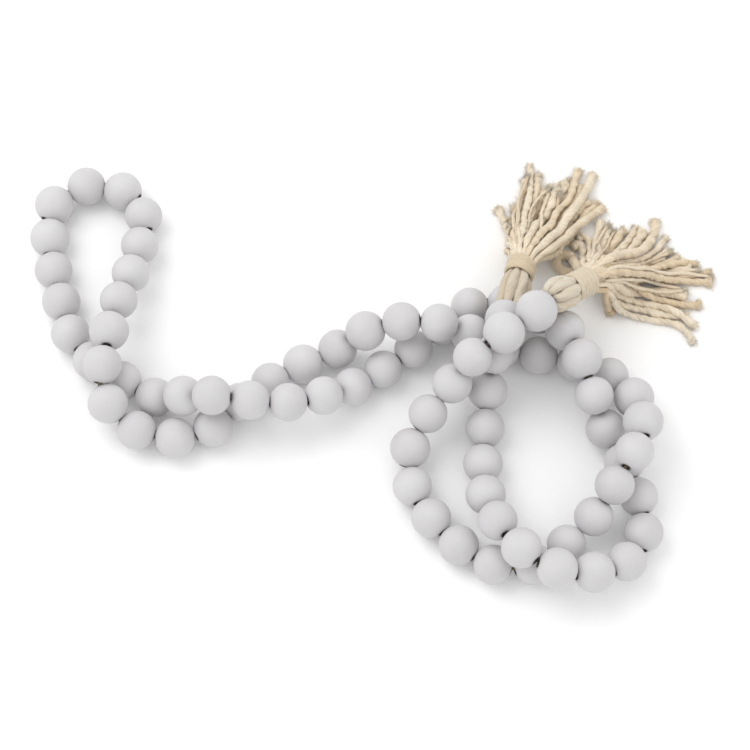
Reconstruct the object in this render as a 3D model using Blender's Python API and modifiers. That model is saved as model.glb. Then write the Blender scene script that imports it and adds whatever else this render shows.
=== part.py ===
"""Wood bead garland, lying in a loose heap with its two cotton tassels fanned out beside it.

Seventy-nine round wooden beads are strung on one cord. The string starts under one tassel, wanders
over the surface, crosses itself several times and climbs to a second tassel on top of the heap.
Units are metres. The origin is on the surface, under the middle of the garland's box, +Z is up.
"""

import math

import bmesh
import bpy
from mathutils import Matrix, Vector

MM = 0.001
FIT_GAP = 0.3 * MM
WELD_DISTANCE = 0.02 * MM
SHARP_ANGLE = math.radians(40.0)

# Beads: a drilled ball, turned with twelve flats so that it can rest on one of them
BEAD_RADIUS = 9.9 * MM
BEAD_HALF_LENGTH = 9.0 * MM
BEAD_BAND_HALF = 1.7 * MM
BEAD_SHOULDER = math.radians(42.0)
BEAD_SIDES = 12
BORE_RADIUS = 2.4 * MM
NECK_RADIUS = 2.9 * MM
REST_HEIGHT = BEAD_RADIUS * math.cos(math.pi / BEAD_SIDES)

# String
STRING_RADIUS = 1.5 * MM
STRETCH_STEPS = 48
STRING_RESOLUTION = 2

# Middle of the garland's footprint, in the same axes as the table below
FOOTPRINT_CENTRE = Vector((0.0, -0.5, 0.0)) * MM

# How the garland lies. Each row is the place where one bead ends and the next begins, after so many
# beads from the row above: beads, x, y, and how far the string is lifted above a bead on the surface.
ROUTE = (
    (0, 72, 27, 27),
    (1, 65, 8, 21),
    (1, 61, -8, 12),
    (1, 57, -25, 2),
    (2, 53, -63, 0),
    (2, 67, -102, 19),
    (1, 81, -117, 21),
    (2, 121, -117, 7),
    (1, 136, -104, 1),
    (2, 132, -63, 0),
    (1, 125, -44, 0),
    (2, 111, -12, 18),
    (1, 105, 7, 22),
    (1, 96, 24, 12),
    (1, 81, 35, 4),
    (1, 61, 42, 0),
    (2, 28, 17, 0),
    (2, -3, -6, 0),
    (2, -35, -25, 13),
    (2, -74, -28, 20),
    (1, -93, -24, 18),
    (2, -126, -12, 0),
    (2, -158, 12, 0),
    (2, -172, 50, 0),
    (2, -177, 89, 0),
    (1, -171, 110, 0),
    (1, -149, 116, 0),
    (1, -130, 105, 0),
    (2, -129, 64, 0),
    (2, -140, 25, 12),
    (1, -141, 4, 21),
    (1, -145, -17, 16),
    (1, -134, -32, 4),
    (2, -95, -38, 0),
    (2, -63, -14, 0),
    (2, -30, 8, 1),
    (2, 5, 17, 16),
    (1, 24, 19, 21),
    (1, 44, 18, 18),
    (1, 60, 15, 6),
    (1, 79, 11, 0),
    (2, 117, 0, 0),
    (1, 132, -13, 3),
    (1, 138, -30, 13),
    (1, 137, -48, 21),
    (1, 127, -67, 22),
    (2, 106, -93, 1),
    (2, 70, -114, 0),
    (2, 35, -95, 0),
    (2, 16, -57, 0),
    (2, 33, -24, 15),
    (2, 60, -4, 37),
    (2, 92, 19, 40),
)

# Tassels: the folded head, the waist that is bound, and the flare that the strands grow from
HEAD_SET_BACK = 1.3 * MM
HEAD_TOP_RADIUS = 3.0 * MM
HEAD_RADIUS = 8.3 * MM
HEAD_GROOVE = 0.9 * MM
WAIST_RADIUS = 6.4 * MM
FLARE_RADIUS = 8.0 * MM
TASSEL_SIDES = 16
HEAD_SHOULDER_LENGTH = 2.2 * MM
HEAD_CROWN_LENGTH = 5.5 * MM
HEAD_TAPER_LENGTH = 2.5 * MM
FLARE_LENGTH = 5.0 * MM
CORE_LENGTH = 11.0 * MM
CORE_RADIUS = 3.4 * MM
BINDING_THICKNESS = 1.5 * MM
BINDING_SIDES = 16

STRAND_WIDTH = 3.9 * MM
STRAND_STEPS = 8
STRAND_ROOT_DEPTH = 4.0 * MM
ROOT_SPREAD = 5.2 * MM
ROOT_RISE = 3.4 * MM
LEAVE_SPREAD = 0.5
CONTROL_SHARE = 0.33

# Each tassel: the point where its neck ends, and the length of its binding
TASSELS = {
    "tassel_1": {"joint": 0, "exit": (79, 60, 25), "binding": 7.5},
    "tassel_2": {"joint": -1, "exit": (119, 41, 30), "binding": 9.5},
}

# Strands of each tassel, from left to right as seen from its head. Columns: x and y of the tip, its
# height above the surface, the heading of the tip in degrees from +X, the part of the strand's length
# in which it comes down, and the layer of the neck that it leaves from, 1 on top and -1 underneath.
STRANDS = {
    "tassel_1": (
        (66, 98, 0, 118, 0.80, 1),
        (73, 93, 0, 100, 0.60, -1),
        (80, 107, 0, 84, 0.80, 1),
        (82, 121, 0, 88, 0.70, -1),
        (89, 128, 0, 92, 0.85, 1),
        (95, 117, 0, 70, 0.65, -1),
        (102, 113, 4, 60, 0.85, 1),
        (107, 119, 0, 66, 0.70, -1),
        (114, 123, 3, 58, 0.85, 1),
        (119, 114, 0, 50, 0.65, -1),
        (124, 119, 3, 60, 0.85, 1),
        (122, 104, 0, 40, 0.65, -1),
        (128, 100, 5, 28, 0.90, 1),
    ),
    "tassel_2": (
        (109, 77, 0, 200, 0.60, -1),
        (112, 84, 0, 168, 0.65, 1),
        (127, 91, 0, 82, 0.75, 1),
        (137, 80, 0, 40, 0.60, -1),
        (145, 85, 4, 62, 0.80, 1),
        (155, 91, 4, 92, 0.85, 1),
        (162, 76, 4, 60, 0.85, 1),
        (166, 66, 0, 25, 0.60, -1),
        (179, 65, 4, 8, 0.85, 1),
        (186, 57, 0, -12, 0.70, -1),
        (175, 49, 4, -5, 0.85, 1),
        (176, 37, 0, -18, 0.70, 1),
        (175, 25, 0, -22, 0.60, -1),
        (174, 15, 0, -48, 0.75, 1),
        (128, 32, 3, -80, 0.95, -1),
    ),
}

# The one strand of the second tassel that curls into a ring on the surface
CURL_CENTRE = (104, 66)
CURL_RADIUS = 5.2
CURL_ROOT_SHARE = 0.8
CURL_DROP_SHARE = 0.55
CURL_STEPS = 11
CURL_SWEEP = math.radians(320.0)
CURL_START = math.radians(20.0)


def clear_scene():
    for thing in list(bpy.data.objects):
        bpy.data.objects.remove(thing, do_unlink=True)


def new_collection(name):
    collection = bpy.data.collections.new(name)
    bpy.context.scene.collection.children.link(collection)
    return collection


def plain_material(name, colour, roughness):
    material = bpy.data.materials.new(name)
    material.use_nodes = True
    shader = material.node_tree.nodes["Principled BSDF"]
    shader.inputs["Base Color"].default_value = (*colour, 1.0)
    shader.inputs["Roughness"].default_value = roughness
    shader.inputs["Metallic"].default_value = 0.0
    return material


def ease(t):
    return t * t * (3.0 - 2.0 * t)


def row_place(row):
    return Vector((row[1] * MM, row[2] * MM, REST_HEIGHT + row[3] * MM)) - FOOTPRINT_CENTRE


def row_tangents(places):
    """Headings in plan through the rows, weighted so that short rows turn more than long ones."""
    flat = [Vector((p.x, p.y)) for p in places]
    spans = [(b - a).length for a, b in zip(flat, flat[1:])]
    slopes = [(b - a).normalized() for a, b in zip(flat, flat[1:])]
    tangents = [slopes[0]]
    for i in range(1, len(flat) - 1):
        before, after = spans[i - 1], spans[i]
        tangents.append((slopes[i - 1] * after + slopes[i] * before) / (before + after))
    tangents.append(slopes[-1])
    return spans, tangents


def stretch_points(start, end, leave, arrive, span):
    """One smooth stretch of the string between two rows of the table."""
    points = []
    for step in range(STRETCH_STEPS + 1):
        t = step / STRETCH_STEPS
        from_start = 2 * t**3 - 3 * t**2 + 1
        leaving = (t**3 - 2 * t**2 + t) * span
        to_end = 3 * t**2 - 2 * t**3
        arriving = (t**3 - t**2) * span
        flat = from_start * start.xy + leaving * leave + to_end * end.xy + arriving * arrive
        points.append(Vector((*flat, start.z + (end.z - start.z) * ease(t))))
    return points


def divide(points, count):
    """Points at equal distances along a stretch, without its start."""
    reached = [0.0]
    for a, b in zip(points, points[1:]):
        reached.append(reached[-1] + (b - a).length)
    found = []
    index = 0
    for part in range(1, count + 1):
        target = reached[-1] * part / count
        while index < len(points) - 2 and reached[index + 1] < target:
            index += 1
        share = (target - reached[index]) / (reached[index + 1] - reached[index])
        found.append(points[index].lerp(points[index + 1], share))
    return found


def string_joints():
    """Where each bead meets the next, from one tassel to the other."""
    places = [row_place(row) for row in ROUTE]
    spans, tangents = row_tangents(places)
    joints = [places[0]]
    for i in range(1, len(ROUTE)):
        leave, arrive = tangents[i - 1], tangents[i]
        stretch = stretch_points(places[i - 1], places[i], leave, arrive, spans[i - 1])
        joints += divide(stretch, ROUTE[i][0])
    return joints


def lying_frame(direction, sides):
    """Axes of a turned piece: one of its flats faces straight down, its axis runs along direction."""
    down = Vector((0, 0, -1))
    down = (down - direction * down.dot(direction)).normalized()
    across = direction.cross(down)
    half_flat = math.pi / sides
    first = down * math.cos(half_flat) - across * math.sin(half_flat)
    second = down * math.sin(half_flat) + across * math.cos(half_flat)
    return Matrix((first, second, direction)).transposed()


def evaluated_mesh(thing):
    """The mesh that an object's modifiers or bevel give, with the object itself removed."""
    bpy.context.view_layer.update()
    graph = bpy.context.evaluated_depsgraph_get()
    mesh = bpy.data.meshes.new_from_object(thing.evaluated_get(graph), depsgraph=graph)
    bpy.data.objects.remove(thing, do_unlink=True)
    return mesh


def turned_mesh(name, profile, sides, closed):
    """A profile of (radius, height) points turned about Z. It runs down the outer side."""
    outline = bpy.data.meshes.new(name + "_profile")
    count = len(profile)
    edges = [(i, i + 1) for i in range(count - 1)]
    if closed:
        edges.append((count - 1, 0))
    outline.from_pydata([(radius, 0.0, height) for radius, height in profile], edges, [])
    thing = bpy.data.objects.new(name + "_turning", outline)
    bpy.context.scene.collection.objects.link(thing)
    turn = thing.modifiers.new("turn", "SCREW")
    turn.steps = sides
    turn.render_steps = sides
    turn.use_merge_vertices = not closed
    turn.merge_threshold = WELD_DISTANCE
    return evaluated_mesh(thing)


def smooth(mesh):
    mesh.shade_smooth()
    mesh.set_sharp_from_angle(angle=SHARP_ANGLE)


def place(name, mesh, location, material, collection, parent):
    thing = bpy.data.objects.new(name, mesh)
    mesh.materials.clear()
    mesh.materials.append(material)
    collection.objects.link(thing)
    thing.location = location
    thing.parent = parent
    smooth(mesh)
    return thing


def bead_outer(centre):
    """The outside of one bead, from its upper shoulder to its lower one."""
    shoulder_radius = BEAD_RADIUS * math.cos(BEAD_SHOULDER)
    shoulder_height = BEAD_RADIUS * math.sin(BEAD_SHOULDER)
    return [
        (shoulder_radius, centre + shoulder_height),
        (BEAD_RADIUS, centre + BEAD_BAND_HALF),
        (BEAD_RADIUS, centre - BEAD_BAND_HALF),
        (shoulder_radius, centre - shoulder_height),
    ]


def bead_pair_mesh(name, first_length, second_length):
    """Two beads that meet at height zero, the first one below and the second above."""
    low = -first_length / 2
    high = second_length / 2
    profile = [(BORE_RADIUS, high + BEAD_HALF_LENGTH)]
    profile += bead_outer(high)
    profile.append((NECK_RADIUS, 0.0))
    profile += bead_outer(low)
    profile.append((BORE_RADIUS, low - BEAD_HALF_LENGTH))
    profile.append((BORE_RADIUS, 0.0))
    return turned_mesh(name, profile, BEAD_SIDES, True)


def single_bead_mesh(name, length):
    middle = length / 2
    profile = [(BORE_RADIUS, middle + BEAD_HALF_LENGTH)]
    profile += bead_outer(middle)
    profile.append((BORE_RADIUS, middle - BEAD_HALF_LENGTH))
    return turned_mesh(name, profile, BEAD_SIDES, True)


def bend_at_joint(mesh, before, after):
    """Turn the lower bead along before and the upper one along after, with a mitre where they meet."""
    frame_before = lying_frame(before, BEAD_SIDES)
    frame_after = lying_frame(after, BEAD_SIDES)
    mitre = (before + after).normalized()
    for vertex in mesh.vertices:
        if abs(vertex.co.z) < 0.1 * MM:
            point = frame_before @ vertex.co
            point -= before * (point.dot(mitre) / before.dot(mitre))
        elif vertex.co.z < 0:
            point = frame_before @ vertex.co
        else:
            point = frame_after @ vertex.co
        vertex.co = point


def make_beads(joints, material, collection, parent):
    """Beads two by two, with the odd one last, against the second tassel."""
    count = len(joints) - 1
    for pair in range(count // 2):
        start, middle, end = joints[2 * pair:2 * pair + 3]
        name = f"bead_pair_{pair + 1:02d}"
        mesh = bead_pair_mesh(name, (middle - start).length, (end - middle).length)
        bend_at_joint(mesh, (middle - start).normalized(), (end - middle).normalized())
        place(name, mesh, middle, material, collection, parent)
    start, end = joints[-2:]
    mesh = single_bead_mesh("bead_last", (end - start).length)
    mesh.transform(lying_frame((end - start).normalized(), BEAD_SIDES).to_4x4())
    place("bead_last", mesh, start, material, collection, parent)


def tube_mesh(name, points, radius, resolution, tilt):
    """A tube along straight runs between the points, closed at both ends."""
    curve = bpy.data.curves.new(name + "_path", "CURVE")
    curve.dimensions = "3D"
    curve.bevel_depth = radius
    curve.bevel_resolution = resolution
    curve.use_fill_caps = True
    curve.twist_mode = "Z_UP"
    spline = curve.splines.new("POLY")
    spline.points.add(len(points) - 1)
    for spot, point in zip(spline.points, points):
        spot.co = (*point, 1.0)
        spot.tilt = tilt
    thing = bpy.data.objects.new(name + "_path", curve)
    bpy.context.scene.collection.objects.link(thing)
    mesh = evaluated_mesh(thing)
    shape = bmesh.new()
    shape.from_mesh(mesh)
    bmesh.ops.remove_doubles(shape, verts=shape.verts, dist=WELD_DISTANCE)
    bmesh.ops.recalc_face_normals(shape, faces=shape.faces)
    shape.to_mesh(mesh)
    shape.free()
    return mesh


def tassel_sizes(spec, joints):
    """Where a tassel starts, the way it points, and its length from the last bead to its strands."""
    start = joints[spec["joint"]]
    finish = Vector(spec["exit"]) * MM - FOOTPRINT_CENTRE
    return start, finish, (finish - start).normalized(), (finish - start).length


def tassel_body_mesh(name, length, binding):
    """Head, bound waist, flare and the dense core that the strands leave, in one turned shape."""
    flare_start = length - FLARE_LENGTH
    waist_start = flare_start - binding
    profile = [
        (0.0, -HEAD_SET_BACK),
        (HEAD_TOP_RADIUS, -HEAD_SET_BACK),
        (HEAD_RADIUS - HEAD_GROOVE, -(HEAD_SET_BACK + HEAD_SHOULDER_LENGTH)),
        (HEAD_RADIUS, -(HEAD_SET_BACK + HEAD_CROWN_LENGTH)),
        (HEAD_RADIUS, -(waist_start - HEAD_TAPER_LENGTH)),
        (WAIST_RADIUS, -waist_start),
        (WAIST_RADIUS, -flare_start),
        (FLARE_RADIUS, -length),
        (CORE_RADIUS, -(length + CORE_LENGTH)),
        (0.0, -(length + CORE_LENGTH)),
    ]
    mesh = turned_mesh(name, profile, TASSEL_SIDES, False)
    step = 2 * math.pi / TASSEL_SIDES
    for vertex in mesh.vertices:
        column = round(math.atan2(vertex.co.y, vertex.co.x) / step)
        on_head = vertex.co.xy.length > HEAD_RADIUS - 0.1 * MM
        if on_head and column % 2:
            vertex.co.xy *= (HEAD_RADIUS - HEAD_GROOVE) / HEAD_RADIUS
    return mesh


def binding_mesh(name, length, binding):
    """The cord wound round the waist, as one band with a soft bulge."""
    flare_start = length - FLARE_LENGTH
    waist_start = flare_start - binding
    inner = WAIST_RADIUS + FIT_GAP
    outer = inner + BINDING_THICKNESS
    top = -(waist_start + FIT_GAP)
    bottom = -(flare_start - FIT_GAP)
    edge = BINDING_THICKNESS / 2
    profile = [
        (inner, top),
        (outer - edge / 2, top),
        (outer, top - edge),
        (outer, bottom + edge),
        (outer - edge / 2, bottom),
        (inner, bottom),
    ]
    return turned_mesh(name, profile, BINDING_SIDES, True)


def string_points(joints):
    """The string runs through every joint and stops just short of the two tassel heads."""
    ends = []
    for spec in TASSELS.values():
        start, finish, direction, length = tassel_sizes(spec, joints)
        ends.append(start + direction * (HEAD_SET_BACK - FIT_GAP))
    return [ends[0], *joints, ends[1]]


def hanging_frame(direction):
    """A turned piece's own axes, with its lower end towards direction."""
    return lying_frame(-direction, TASSEL_SIDES)


def strand_points(row, order, count, finish, direction):
    """One strand: out of the neck, over and down to its tip, and level where it lies."""
    tip_x, tip_y, tip_rise, tip_heading, drop, layer = row
    half = STRAND_WIDTH / 2
    tip = Vector((tip_x * MM, tip_y * MM, half + tip_rise * MM)) - FOOTPRINT_CENTRE
    side = Vector((-direction.y, direction.x, 0.0)).normalized()
    above = direction.cross(side)
    spread = 1.0 - 2.0 * order / (count - 1)
    rise = ROOT_RISE * layer * math.cos(spread)
    offset = side * (ROOT_SPREAD * spread) - above * rise
    root = finish + offset
    arrive = Vector((math.cos(math.radians(tip_heading)), math.sin(math.radians(tip_heading))))
    reach = (tip - root).xy.length
    leave = (direction.xy.normalized() + side.xy * spread * LEAVE_SPREAD).normalized()
    control_a = root.xy + leave * reach * CONTROL_SHARE
    control_b = tip.xy - arrive * reach * CONTROL_SHARE
    points = [root - direction * STRAND_ROOT_DEPTH]
    for step in range(STRAND_STEPS):
        t = step / (STRAND_STEPS - 1)
        u = 1.0 - t
        flat = u**3 * root.xy + 3 * u * u * t * control_a + 3 * u * t * t * control_b + t**3 * tip.xy
        height = root.z + (tip.z - root.z) * ease(min(1.0, t / drop))
        points.append(Vector((*flat, height)))
    return points


def curl_points(finish, direction):
    """The strand that leaves the neck on its left and runs once round a small ring."""
    side = Vector((-direction.y, direction.x, 0.0)).normalized()
    root = finish + side * (ROOT_SPREAD * CURL_ROOT_SHARE)
    centre = Vector((*CURL_CENTRE, 0)) * MM - FOOTPRINT_CENTRE
    half = STRAND_WIDTH / 2
    points = [root - direction * STRAND_ROOT_DEPTH, root]
    for step in range(CURL_STEPS):
        t = step / (CURL_STEPS - 1)
        angle = CURL_START + CURL_SWEEP * t
        radius = CURL_RADIUS * MM
        flat = centre.xy + radius * Vector((math.cos(angle), math.sin(angle)))
        points.append(Vector((*flat, half)))
    first = points[2]
    middle = root.lerp(first, 0.5)
    middle.z = first.z + (root.z - first.z) * CURL_DROP_SHARE
    points.insert(2, middle)
    return points


def face_group(seed, left):
    """All faces that are joined to seed across edges that just two faces share."""
    group = [seed]
    for face in group:
        for edge in face.edges:
            if len(edge.link_faces) != 2:
                continue
            for neighbour in edge.link_faces:
                if neighbour in left:
                    left.discard(neighbour)
                    group.append(neighbour)
    return group


def enclosed_volume(group):
    corners = [[vertex.co for vertex in face.verts] for face in group]
    return sum(a.dot(b.cross(c)) for a, b, c in corners) / 6.0


def fill_pockets(mesh):
    """Delete the walls of closed pockets between strands, so that the fused piece is solid."""
    shape = bmesh.new()
    shape.from_mesh(mesh)
    bmesh.ops.remove_doubles(shape, verts=shape.verts, dist=WELD_DISTANCE / 2)
    bmesh.ops.triangulate(shape, faces=shape.faces)
    left = set(shape.faces)
    groups = []
    while left:
        groups.append(face_group(left.pop(), left))
    groups.sort(key=len)
    for pocket in groups[:-1]:
        print(f"pocket of {abs(enclosed_volume(pocket)) / MM**3:.3f} mm3 filled")
        bmesh.ops.delete(shape, geom=pocket, context="FACES")
    shape.to_mesh(mesh)
    shape.free()


def make_tassel(name, spec, joints, materials, collection, parent):
    start, finish, direction, length = tassel_sizes(spec, joints)
    frame = hanging_frame(direction).to_4x4()
    body_mesh = tassel_body_mesh(name, length, spec["binding"] * MM)
    body_mesh.transform(Matrix.Translation(start) @ frame)
    body = bpy.data.objects.new(name + "_body", body_mesh)
    collection.objects.link(body)
    rows = STRANDS[name]
    routes = [strand_points(row, i, len(rows), finish, direction) for i, row in enumerate(rows)]
    if name == "tassel_2":
        routes.append(curl_points(finish, direction))
    strand_radius = STRAND_WIDTH / 2 * math.sqrt(2)
    strands = new_collection(name + "_strands")
    for i, route in enumerate(routes):
        mesh = tube_mesh(f"{name}_strand_{i + 1:02d}", route, strand_radius, 0, math.radians(45))
        strand = bpy.data.objects.new(f"{name}_strand_{i + 1:02d}", mesh)
        strands.objects.link(strand)
    fuse = body.modifiers.new("strands", "BOOLEAN")
    fuse.operation = "UNION"
    fuse.solver = "EXACT"
    fuse.operand_type = "COLLECTION"
    fuse.collection = strands
    fused = evaluated_mesh(body)
    fill_pockets(fused)
    place(name, fused, Vector((0, 0, 0)), materials["tassel"], collection, parent)
    for strand in list(strands.objects):
        bpy.data.objects.remove(strand, do_unlink=True)
    bpy.data.collections.remove(strands)
    band = binding_mesh(name + "_binding", length, spec["binding"] * MM)
    band.transform(lying_frame(-direction, BINDING_SIDES).to_4x4())
    place(name + "_binding", band, start, materials["binding"], collection, parent)


def main():
    clear_scene()
    collection = new_collection("wood_bead_garland")
    origin = bpy.data.objects.new("garland_origin", None)
    collection.objects.link(origin)
    materials = {
        "bead": plain_material("painted_wood", (0.80, 0.79, 0.80), 0.65),
        "string": plain_material("string_cotton", (0.74, 0.66, 0.50), 0.90),
        "tassel": plain_material("tassel_cotton", (0.78, 0.70, 0.54), 0.92),
        "binding": plain_material("binding_cotton", (0.74, 0.66, 0.50), 0.92),
    }
    joints = string_joints()
    make_beads(joints, materials["bead"], collection, origin)
    string = tube_mesh("string", string_points(joints), STRING_RADIUS, STRING_RESOLUTION, 0.0)
    place("string", string, Vector((0, 0, 0)), materials["string"], collection, origin)
    for name, spec in TASSELS.items():
        make_tassel(name, spec, joints, materials, collection, origin)
    length = sum((b - a).length for a, b in zip(joints, joints[1:]))
    print(f"{len(joints) - 1} beads on {length * 1000:.0f} mm of string")


main()
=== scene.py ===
# %% [markdown]
# # A wood bead garland with two cotton tassels
#
# The garland is seventy-nine painted wooden beads on one cord, with a cotton tassel knotted on at
# each end. It lies where it was dropped: a narrow loop on the left, two rows that cross each other
# in the middle, and a round coil on the right, with both tassels fanned out beside the coil.
#
# The solids of the frame already say where each thing lies. This lesson dresses them: round beads
# with drilled holes, a twisted string, folded tassel heads with their windings, and loose cotton
# strands that rest on each other.

# %% Load the fixed frame
import math
import random

import bmesh
import bpy
import numpy as np
from mathutils import Matrix, Vector, noise


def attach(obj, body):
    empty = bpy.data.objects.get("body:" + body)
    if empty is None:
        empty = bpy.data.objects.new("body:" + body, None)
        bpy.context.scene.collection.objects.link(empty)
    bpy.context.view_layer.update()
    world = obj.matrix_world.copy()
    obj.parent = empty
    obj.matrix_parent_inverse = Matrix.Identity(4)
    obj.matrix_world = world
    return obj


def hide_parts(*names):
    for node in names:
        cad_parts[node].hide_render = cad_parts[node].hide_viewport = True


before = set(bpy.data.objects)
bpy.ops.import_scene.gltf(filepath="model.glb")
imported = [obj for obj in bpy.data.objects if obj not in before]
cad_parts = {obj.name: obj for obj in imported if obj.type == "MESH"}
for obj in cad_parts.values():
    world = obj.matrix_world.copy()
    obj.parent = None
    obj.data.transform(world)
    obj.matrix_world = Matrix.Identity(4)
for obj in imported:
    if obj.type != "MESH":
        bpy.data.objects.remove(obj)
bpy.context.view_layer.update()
MM = 0.001


def put_in_scene(name, data):
    """A new object with this name and data, linked to the scene."""
    made = bpy.data.objects.new(name, data)
    bpy.context.scene.collection.objects.link(made)
    return made


# %% [markdown]
# ## The camera
#
# The garland was seen from well above, with a long lens. A camera could be aimed with a tracking
# constraint, but two plain numbers, its height above the horizon and its distance, are easier to
# read and to change.

# %% Camera
CAMERA_ELEVATION = math.radians(65.0)
CAMERA_DISTANCE = 1100 * MM
CAMERA_LENS = 98.74
CAMERA_SENSOR = 36.0
# Middle of the garland's footprint, in the axes of the tables below
FOOTPRINT_CENTRE = Vector((0.0, -0.5, 0.0)) * MM

camera_data = bpy.data.cameras.new("view_from_above")
camera_data.lens = CAMERA_LENS
camera_data.sensor_width = CAMERA_SENSOR
camera = put_in_scene("view_from_above", camera_data)
back = Vector((0.0, -math.cos(CAMERA_ELEVATION), math.sin(CAMERA_ELEVATION)))
camera.location = -FOOTPRINT_CENTRE + back * CAMERA_DISTANCE
camera.rotation_euler = (math.pi / 2 - CAMERA_ELEVATION, 0.0, 0.0)
bpy.context.scene.camera = camera
print("camera at", [round(value, 3) for value in camera.location])

# %% [markdown]
# ## How the string lies
#
# Every bead follows the string, so the string comes first. It could be a simulation of a falling
# chain, but that would land somewhere else than the real one. Instead each row of a table gives
# one place where a bead ends and the next begins: how many beads after the row above, its place on
# the table in millimetres, and how far it is lifted above a bead that lies on the surface. A
# smooth stretch joins each row to the next, and is divided into equal steps, one for each bead.

# %% The rows of the string
BEAD_RADIUS = 9.9 * MM
# The frame's beads have twelve sides and rest on a flat one, so their middles lie a little lower
REST_HEIGHT = BEAD_RADIUS * math.cos(math.radians(15.0))
STRETCH_STEPS = 48
ROUTE = (
    (0, 69.7, 20.4, 24),
    (1, 63, 4.6, 20),
    (1, 61, -9, 12),
    (1, 58, -25, 2),
    (1, 57.5, -43.5, 0),
    (1, 55.5, -62, 0),
    (2, 66, -102, 19),
    (1, 81, -117, 21),
    (2, 120, -116, 7),
    (1, 135, -103, 1),
    (2, 132, -62.5, 0),
    (1, 124.5, -45, 0),
    (2, 111, -16.5, 18),
    (1, 105, 2, 22),
    (1, 95.5, 21.5, 12),
    (1, 80.5, 33, 4),
    (1, 60, 40.5, 0),
    (2, 26.5, 15.5, 0),
    (2, -4, -7, 0),
    (2, -36, -24.5, 13),
    (2, -74, -27, 20),
    (1, -92, -25, 18),
    (1, -107.5, -20, 4),
    (1, -125, -12.5, 0),
    (2, -156.5, 12, 0),
    (2, -171.5, 49.5, 0),
    (2, -175.5, 87, 0),
    (1, -168, 103, 0),
    (1, -150, 108, 0),
    (1, -133, 99.5, 0),
    (2, -128.5, 65, 4),
    (2, -139, 23, 15),
    (1, -140, 1.5, 22),
    (1, -143.5, -19, 16),
    (1, -130.5, -34.5, 4),
    (2, -93.5, -36.5, 0),
    (2, -63, -15, 0),
    (2, -29, 5.5, 1),
    (2, 4, 15, 16),
    (1, 22, 15.5, 21),
    (1, 41.5, 14.5, 18),
    (1, 58, 12.5, 6),
    (1, 77, 8.5, 0),
    (2, 115, -1, 0),
    (1, 130.5, -13, 3),
    (1, 137, -29.5, 13),
    (1, 137, -48, 21),
    (1, 126.5, -67, 22),
    (2, 106, -93, 1),
    (2, 70, -114, 0),
    (2, 35, -94, 0),
    (2, 16.5, -56, 0),
    (2, 34.5, -24, 15),
    (2, 58, -5, 37),
    (2, 87, 16, 40),
)


def ease(t):
    return t * t * (3.0 - 2.0 * t)


def row_place(row):
    return Vector((row[1] * MM, row[2] * MM, REST_HEIGHT + row[3] * MM)) - FOOTPRINT_CENTRE


def row_headings(places):
    """Headings in plan through the rows, weighted so that short rows turn more than long ones."""
    flat = [Vector((p.x, p.y)) for p in places]
    spans = [(b - a).length for a, b in zip(flat, flat[1:])]
    slopes = [(b - a).normalized() for a, b in zip(flat, flat[1:])]
    headings = [slopes[0]]
    for i in range(1, len(flat) - 1):
        before, after = spans[i - 1], spans[i]
        headings.append((slopes[i - 1] * after + slopes[i] * before) / (before + after))
    headings.append(slopes[-1])
    return spans, headings


def bend(start, end, leave, arrive, t):
    """The place at share t of a smooth bend, which leaves and arrives in two given directions."""
    return (start * (1 - ease(t)) + leave * (t * (1 - t)**2)
            + end * ease(t) - arrive * (t * t * (1 - t)))


def stretch_points(start, end, leave, arrive):
    """One smooth stretch of the string between two rows of the table."""
    points = []
    for step in range(STRETCH_STEPS + 1):
        t = step / STRETCH_STEPS
        flat = bend(start.xy, end.xy, leave, arrive, t)
        points.append(Vector((*flat, start.z + (end.z - start.z) * ease(t))))
    return points


def divide(points, count):
    """Points at equal distances along a line of points, without its start."""
    reached = [0.0]
    for a, b in zip(points, points[1:]):
        reached.append(reached[-1] + (b - a).length)
    found = []
    index = 0
    for part in range(1, count + 1):
        target = reached[-1] * part / count
        while index < len(points) - 2 and reached[index + 1] < target:
            index += 1
        share = (target - reached[index]) / (reached[index + 1] - reached[index])
        found.append(points[index].lerp(points[index + 1], share))
    return found


places = [row_place(row) for row in ROUTE]
spans, headings = row_headings(places)
joints = [places[0]]
for i, span in enumerate(spans):
    leave, arrive = headings[i] * span, headings[i + 1] * span
    joints += divide(stretch_points(places[i], places[i + 1], leave, arrive), ROUTE[i + 1][0])
links = list(zip(joints, joints[1:]))
string_length = sum((b - a).length for a, b in links)
print(len(links), "beads on", round(string_length / MM), "mm of string")

# %% [markdown]
# ## Small helpers for modelling
#
# Operators act on whatever is selected, and the frame's solids start out selected, so each new
# piece begins with an empty selection. In edit mode, the parts to work on are picked by a test on
# their place, which does what clicking on them would do by hand.

# %% Selecting and finishing
WELD_DISTANCE = 0.01 * MM


def select_only(*pieces):
    """Select just these pieces, with the first one active, or nothing before a new piece."""
    bpy.ops.object.select_all(action="DESELECT")
    for piece in pieces:
        piece.select_set(True)
        bpy.context.view_layer.objects.active = pieces[0]


def pick(piece, kind, wanted):
    """In edit mode, select just the vertices, edges or faces that pass a test."""
    bpy.ops.mesh.select_mode(type=kind)
    bpy.ops.mesh.select_all(action="DESELECT")
    shape = bmesh.from_edit_mesh(piece.data)
    parts = {"VERT": shape.verts, "EDGE": shape.edges, "FACE": shape.faces}[kind]
    for part in parts:
        part.select_set(wanted(part))
    shape.select_flush_mode()
    bmesh.update_edit_mesh(piece.data)


def weld_and_turn_out(piece):
    """Merge doubled points, then point every face outwards."""
    select_only(piece)
    bpy.ops.object.mode_set(mode="EDIT")
    bpy.ops.mesh.select_all(action="SELECT")
    bpy.ops.mesh.remove_doubles(threshold=WELD_DISTANCE)
    bpy.ops.mesh.normals_make_consistent(inside=False)
    bpy.ops.object.mode_set(mode="OBJECT")
    bpy.ops.object.shade_smooth()


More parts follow.
